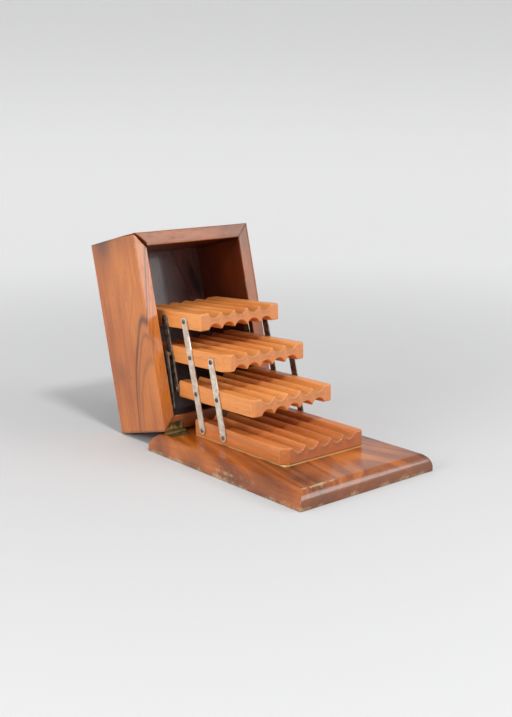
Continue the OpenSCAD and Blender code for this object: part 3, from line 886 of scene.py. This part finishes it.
left_figure = dict(
    taper=0.157,
    veins=((34.2 * MM, 0.95 * MM, 0.95), (31.2 * MM, 0.6 * MM, 0.5), (27 * MM, 0.9 * MM, 0.4)),
    stains=((in_case(-41, -78, 65.6), 1.0 * MM, 0.95), (in_case(113, -78, 80), 24 * MM, 0.85),
            (in_case(111, -78, 45), 20 * MM, 0.45), (in_case(-34, -78, 84), 13 * MM, 0.35),
            (in_case(100, -78, 22), 10 * MM, 0.25), (in_case(8, -78, 36), 8 * MM, 0.3)))
plain_figure = dict(taper=0.10, veins=((60 * MM, 3 * MM, 0.3),))
walls = {
    "left": dict(pith=in_case(0, -48, 27), turn_z=0, seed=0.0, **left_figure),
    "right": dict(pith=in_case(0, 130, 40), turn_z=0, seed=1.3, taper=-0.12,
                  stains=((in_case(96, 70, 18.5), 24 * MM, 0.55),
                          (in_case(40, 66, 18.5), 9 * MM, 0.3))),
    "front": dict(pith=in_case(70, 30, -30), turn_z=-90, seed=2.9,
                  stains=((in_case(104, 55, 18.5), 28 * MM, 0.5),
                          (in_case(111, -70, 70), 30 * MM, 0.5)), **plain_figure),
    "rear": dict(pith=in_case(-140, 10, 20), turn_z=-90, seed=4.1, **plain_figure),
}


def stand_wall(side):
    """One wall: drawn along its own length, laid on its side of the box, and turned open."""
    across = side in ("front", "rear")
    axis = 1 if across else 0
    length = cover_high[axis] - cover_low[axis]
    gaps = {"front": (front_gap, 0.0), "left": (0.0, left_gap)}.get(side, (0.0, 0.0))
    grid = mitred(length, *gaps, seed=len(side))
    marks = wall_marks(grid, length)
    along, depth, up = np.moveaxis(grid, -1, 0)
    outer = {"left": cover_low[1], "right": cover_high[1],
             "front": cover_high[0], "rear": cover_low[0]}[side]
    inwards = outer + depth * (1 if side in ("left", "rear") else -1)
    along = along + cover_low[axis]
    shut = np.stack([inwards, along, up] if across else [along, inwards, up], -1)
    points, faces = with_ends(opened(shut))
    recipe = walls[side]
    tones, coat = (cover_tones, 0.5) if side == "left" else (rim_tones, 0.2)
    finish = wood(f"cover_{side}_wood", tones, cover_dark, turn_y=open_angle, ring=14 * MM,
                  wander=6 * MM, figure=0.38, flecks=0.45, fibre=0.28, gloss=0.27, coat=coat,
                  worn=(0.55, 0.28, 0.10), random_veins=0.3, **recipe)
    return piece(f"cover_{side}_wall_mitred", [(points, faces)], finish, "cover",
                 [f"cover_{side}_wall"], sharp=30, marks=marks)


cover_walls = {side: stand_wall(side) for side in walls}
rear_pockets = []
for side in ("left", "right"):
    low, high = shut_box(f"hinge_{side}_cover_leaf")
    points, faces = boxed(
        [low[0] - MM, low[1] - leaf_gap, low[2] - 5 * MM],
        [hinge[0] + leaf_w + leaf_gap, high[1] + leaf_gap, cover_low[2] + leaf_t])
    rear_pockets.append((opened(points), faces))
cut_away(cover_walls["rear"], rear_pockets)
print("cover walls stand:", ", ".join(cover_walls))

# %% [markdown]
# ## The panel
# The panel closes the cover: it is the lid when the case is shut, and the back when it is open.
# It is a thin board with its grain along the case, made very dark as painted shade of the cover's
# inside.

# %% The panel let into the walls
play = 0.12 * MM
corners = [(panel_low[1] + play, panel_low[2]), (panel_high[1] - play, panel_low[2]),
           (panel_high[1] - play, panel_high[2]), (panel_low[1] + play, panel_high[2])]
panel_outline = rounded_outline(corners, [0.2 * MM, 0.2 * MM, 0.5 * MM, 0.5 * MM], 3 * MM)
whole = np.ones(len(panel_outline))
panel = carried(panel_outline, (panel_low[0] + play) * whole, (panel_high[0] - play) * whole,
                0.4 * MM, 60)
edge_in = np.minimum(np.minimum(panel[..., 0] - panel_low[0], panel_high[0] - panel[..., 0]),
                     np.minimum(panel[..., 1] - panel_low[1], panel_high[1] - panel[..., 1]))
# Grime and painted shade: a dark band round the panel's edges, where it meets the walls.
panel_edge_dirt_and_shade = 0.45 * np.exp(-(np.clip(edge_in, 0, 1) / (1.2 * MM)) ** 2)
# Painted shade: the panel's tones are kept very dark for the shade inside the cover.
panel_painted_shade_tones = [(0.024, 0.008, 0.007), (0.075, 0.023, 0.018), (0.15, 0.048, 0.036),
               (0.25, 0.088, 0.064)]
panel_wood = wood("cover_panel_wood", panel_painted_shade_tones, (0.008, 0.004, 0.003),
                  pith=in_case(0, 10, 170), turn_y=open_angle, taper=0.14, ring=9 * MM, figure=0.7,
                  veins=((66 * MM, 2.2 * MM, 0.6), (78 * MM, 3 * MM, 0.5)), flecks=0.6,
                  fibre=0.4, gloss=0.36, coat=0.25, random_veins=0.9, seed=5.2)
piece("cover_panel_board", [with_ends(opened(panel))], panel_wood, "cover",
      ["cover_panel"], marks={"rubbed": 0 * panel_edge_dirt_and_shade.ravel(), "grime": panel_edge_dirt_and_shade.ravel()})

# %% [markdown]
# ## Slotted round-headed screws
# A screw head is small, but its slot tells what it is. A disc is drawn in chords that run
# beside the slot, so the slot's walls are straight: the chord at distance s has the half length
# sqrt(1 - s squared). The height is a dome, less the slot's depth between two of the chords.

# %% A slotted head, its shank, and the screws of the trays


def slotted_head(radius, dome, rim, slot_w, slot_d, chords=30, along=11):
    """A head on the plane z = 0: a dome over a disc of chords, a straight skirt and a flat back."""
    edge = slot_w / radius
    t = np.linspace(-math.pi / 2, math.pi / 2, chords)
    s = np.sort(np.concatenate([np.sin(t), [-edge * 1.15, -edge, edge, edge * 1.15]]))
    chord, share = np.meshgrid(s, np.linspace(-1, 1, along), indexing="ij")
    x, y = radius * chord, radius * share * np.sqrt(np.clip(1 - chord ** 2, 0, 1))
    bulge = rim + dome * np.sqrt(np.clip(1 - 0.96 * (x ** 2 + y ** 2) / radius ** 2, 0, 1))
    z = bulge - slot_d * (np.abs(chord) <= edge * 1.001)
    cap = np.stack([x, y, z], -1).reshape(-1, 3)
    count = len(s)
    row, column = np.meshgrid(np.arange(count - 1), np.arange(along - 1), indexing="ij")
    first = (row * along + column).ravel()
    faces = np.stack([first, first + along, first + along + 1, first + 1], 1).tolist()
    top_side = np.arange(count) * along + along - 1
    loop = np.concatenate([np.arange(count) * along, top_side[::-1][1:-1]])
    base = cap[loop] * [1, 1, 0]
    under = len(cap) + np.arange(len(loop))
    skirt = np.stack([loop, np.roll(loop, -1), np.roll(under, -1), under], 1).tolist()
    return np.concatenate([cap, base]), faces + skirt + [under[::-1].tolist()]


def facing_side(points, place, side, turn):
    """A head made on z = 0 turned about its own axis, then stood on a side face of the case."""
    c, s = math.cos(turn), math.sin(turn)
    x, y, z = points.T
    return np.stack([place[0] + x * c - y * s, place[1] + side * z, place[2] + x * s + y * c], 1)


bar_low, bar_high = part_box("bar_middle_right")
hole_step = place_of("front_bars_fold") - place_of("tray_2_pivot")
bar_spacing = math.hypot(hole_step[0], hole_step[2])
head_r, head_t, shank_r = 2.4 * MM, 1.0 * MM, 1.45 * MM
slot_w, slot_d = 0.36 * MM, 0.5 * MM
tray_side = bar_low[1] - 0.35 * MM
shank_in = 6 * MM
screw_rows = {1: (0, 1), 2: (-1, 0, 1), 3: (0, 1), 4: (-1, 0)}
head_in = bar_high[1] + 0.1 * MM
turns = np.random.default_rng(7)
for n, rows in screw_rows.items():
    parts = []
    tip = math.radians(tips[n])
    for row in rows:
        middle = pivots[n] + row * bar_spacing * np.array([math.cos(tip), 0, math.sin(tip)])
        for side in (-1, 1):
            seat = middle + [0, side * head_in, 0]
            points, faces = slotted_head(head_r, 0.62 * head_t, 0.34 * head_t, slot_w, slot_d)
            parts.append((facing_side(points, seat, side, turns.uniform(0, math.pi)), faces))
            parts.append(rod(middle, shank_r, side * (tray_side - shank_in), side * head_in, 20))
    piece(f"tray_{n}_slotted_screws", parts, screw_steel, tray_bodies[n],
          [f"tray_{n}_pivot_screws"], sharp=35)
print("screws in rows", bar_spacing / MM, "mm apart")

# %% [markdown]
# ## Parts that only need their edges taken off
# The bars, links, bushes, pins and hinge leaves are flat or turned metal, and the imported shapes
# are right as they are. A copy of each is merged into one skin, and a small bevel lets its
# edges catch the light, as filed or tumbled edges do.

# %% Merged copies with bevelled edges


def eased(node_name, material, body, width):
    """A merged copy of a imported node, with a live bevel of some width."""
    shape = bmesh.new()
    shape.from_mesh(frame["nodes"][node_name].data)
    bmesh.ops.remove_doubles(shape, verts=shape.verts, dist=1e-6)
    bmesh.ops.dissolve_limit(shape, angle_limit=math.radians(1), verts=shape.verts,
                             edges=shape.edges)
    mesh = bpy.data.meshes.new(node_name + "_eased")
    shape.to_mesh(mesh)
    shape.free()
    thing = bpy.data.objects.new(node_name + "_eased", mesh)
    bpy.context.scene.collection.objects.link(thing)
    bevel = thing.modifiers.new("eased edges", "BEVEL")
    bevel.width, bevel.segments, bevel.limit_method = width, 2, "ANGLE"
    bevel.angle_limit = math.radians(50)
    return finished(thing, material, body, [node_name], sharp=50)


for row in ("front", "middle", "rear"):
    for side in ("left", "right"):
        # The right-hand and rear bars take the darker copy of the steel, as painted shade.
        steel = bar_steel if side == "left" and row != "rear" else shaded_steel
        eased(f"bar_{row}_{side}", steel, f"{row}_bars", 0.22 * MM)
for side in ("left", "right"):
    eased(f"drive_link_{side}", link_steel, "drive_links", 0.22 * MM)
    eased(f"hinge_{side}_board_leaf", hinge_brass, "base", 0.12 * MM)
    eased(f"hinge_{side}_cover_leaf", hinge_brass, "cover", 0.12 * MM)
    eased(f"hinge_{side}_pin", screw_brass, "base", 0.10 * MM)
eased("drive_pivot_pins", screw_steel, "third_tray", 0.25 * MM)
eased("drive_bushes", bush_brass, "third_tray", 0.2 * MM)
eased("cover_drive_screws", screw_steel, "cover", 0.3 * MM)
eased("cover_drive_washers", bush_brass, "cover", 0.2 * MM)

# %% [markdown]
# ## Countersunk hinge screws
# Their heads lie flush in the leaves, so the dark slot is all that shows.

# %% Countersunk screws, with the cover shut and with the board
screw_out = 8 * MM
screw_apart = 7 * MM
sink_r, sink_t = 2.15 * MM, 0.9 * MM
sink_seat = 0.92 * MM
sink_slot_w, sink_slot_d = 0.42 * MM, 0.6 * MM
for body, up, node_name in (("cover", 1, "cover_hinge_screws"), ("base", -1, "board_hinge_screws")):
    parts = []
    low, high = shut_box(node_name) if body == "cover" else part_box(node_name)
    face = low[2] if up > 0 else high[2]
    for side in (-1, 1):
        leaf_low, leaf_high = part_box(f"hinge_{'left' if side < 0 else 'right'}_board_leaf")
        for off in (-screw_apart, screw_apart):
            points, faces = slotted_head(sink_r, 0.0, sink_t, sink_slot_w, sink_slot_d)
            x, y, z = points.T
            taper = np.where(z < 0.05 * MM, 0.55, 1.0)
            middle = (leaf_low[1] + leaf_high[1]) / 2 + off
            place = np.stack([hinge[0] + screw_out + y * taper, middle + x * taper,
                              face + up * (sink_seat - z)], 1)
            parts.append((opened(place) if body == "cover" else place, faces))
    piece(node_name + "_slotted", parts, screw_brass, body, [node_name], sharp=35)

# %% [markdown]
# ## The studio
# The case stands on a pale seamless sweep. The key light is high and in front of the case, a
# wide soft light fills from the left, and one on the right shows as a sheen on the rim. The paper
# gives off a little light of its own, more with distance and less with height, in place of a
# lamp behind the case.

# %% A round sweep, as a profile turned about the upright axis
floor_r, wall_r, wall_h = 1.7, 1.3, 1.5
paper_grey = 0.61
far_glow, high_loss = 0.35, 0.16
t = np.linspace(0, math.pi / 2, 24)
sweep = np.concatenate([np.stack([np.linspace(0.0, floor_r, 12)[1:], np.zeros(11)], 1),
                        np.stack([floor_r + wall_r * np.sin(t), wall_r * (1 - np.cos(t))], 1)[1:],
                        [[floor_r + wall_r, wall_r + wall_h]]])
angle = np.arange(96) / 96 * 2 * math.pi
sweep_grid = np.stack([sweep[:, :1] * np.cos(angle), sweep[:, :1] * np.sin(angle),
                       sweep[:, 1:] + 0 * angle], -1)
sweep_faces = grid_faces(*sweep_grid.shape[:2]) + [list(range(96))[::-1]]
sweep_mesh = bpy.data.meshes.new("studio_sweep")
sweep_mesh.from_pydata(sweep_grid.reshape(-1, 3).tolist(), [], sweep_faces)
sweep_mesh.shade_smooth()
studio = bpy.data.objects.new("studio_sweep", sweep_mesh)
studio.location.z = float(cad_low[2]) - 0.05 * MM
bpy.context.scene.collection.objects.link(studio)
paper, paper_tree, paper_shader = fresh("pale_paper")
on_paper = paper_tree.nodes.new("ShaderNodeTexCoord").outputs["Object"]
height = node(paper_tree, "ShaderNodeSeparateXYZ", {0: on_paper}).outputs[2]
far_off = vectors(paper_tree, "LENGTH", on_paper, output=1)
glow = maths(paper_tree, "SUBTRACT", stepped(paper_tree, far_off, 0.2, floor_r, 0.0, far_glow),
             stepped(paper_tree, height, 0.1, 0.75, 0.0, high_loss))
put(paper_tree, paper_shader, Base_Color=(paper_grey, paper_grey, paper_grey, 1.0), Roughness=0.9,
    Emission_Color=(1.0, 1.0, 1.0, 1.0), Emission_Strength=glow)
sweep_mesh.materials.append(paper)

# %% Lights, the world and the camera
focus = Vector((-10 * MM, -32.9 * MM, 111.3 * MM))


def softbox(name, azimuth, elevation, distance, width, height, power, colour=(1, 1, 1)):
    """A rectangular light looking at the case, placed by its direction from it in degrees."""
    a, e = math.radians(azimuth), math.radians(elevation)
    back = Vector((math.cos(a) * math.cos(e), math.sin(a) * math.cos(e), math.sin(e)))
    light = bpy.data.lights.new(name, "AREA")
    light.shape, light.size, light.size_y = "RECTANGLE", width, height
    light.energy, light.color = power, colour
    thing = bpy.data.objects.new(name, light)
    thing.location = focus + back * distance
    thing.rotation_mode = "QUATERNION"
    thing.rotation_quaternion = back.to_track_quat("Z", "Y")
    bpy.context.scene.collection.objects.link(thing)
    return thing


softbox("key_light", -12, 57.5, 1.7, 0.26, 0.26, 14.5)
softbox("left_fill", -97, 16, 1.5, 1.0, 0.7, 11)
softbox("right_sheen", 38, 23.5, 1.5, 0.7, 0.56, 7)
air_colour, air_strength = (0.97, 0.98, 1.0, 1.0), 0.50
world = bpy.data.worlds.new("studio_air")
world.use_nodes = True
world.node_tree.nodes["Background"].inputs[0].default_value = air_colour
world.node_tree.nodes["Background"].inputs[1].default_value = air_strength
bpy.context.scene.world = world
bpy.context.scene.view_settings.view_transform = "Standard"

camera_azimuth, camera_elevation, camera_distance = math.radians(49.81), math.radians(12.93), 1.0928
camera = bpy.data.cameras.new("camera")
camera.lens, camera.sensor_width = 54.87, 36.0
view_from = Vector((math.sin(camera_azimuth) * math.cos(camera_elevation),
                    -math.cos(camera_azimuth) * math.cos(camera_elevation),
                    math.sin(camera_elevation)))
tripod = bpy.data.objects.new("camera", camera)
tripod.location = focus + view_from * camera_distance
tripod.rotation_mode = "QUATERNION"
tripod.rotation_quaternion = view_from.to_track_quat("Z", "Y")
bpy.context.scene.collection.objects.link(tripod)
bpy.context.scene.camera = tripod
print("camera", [round(v, 3) for v in tripod.location], "lens", camera.lens)
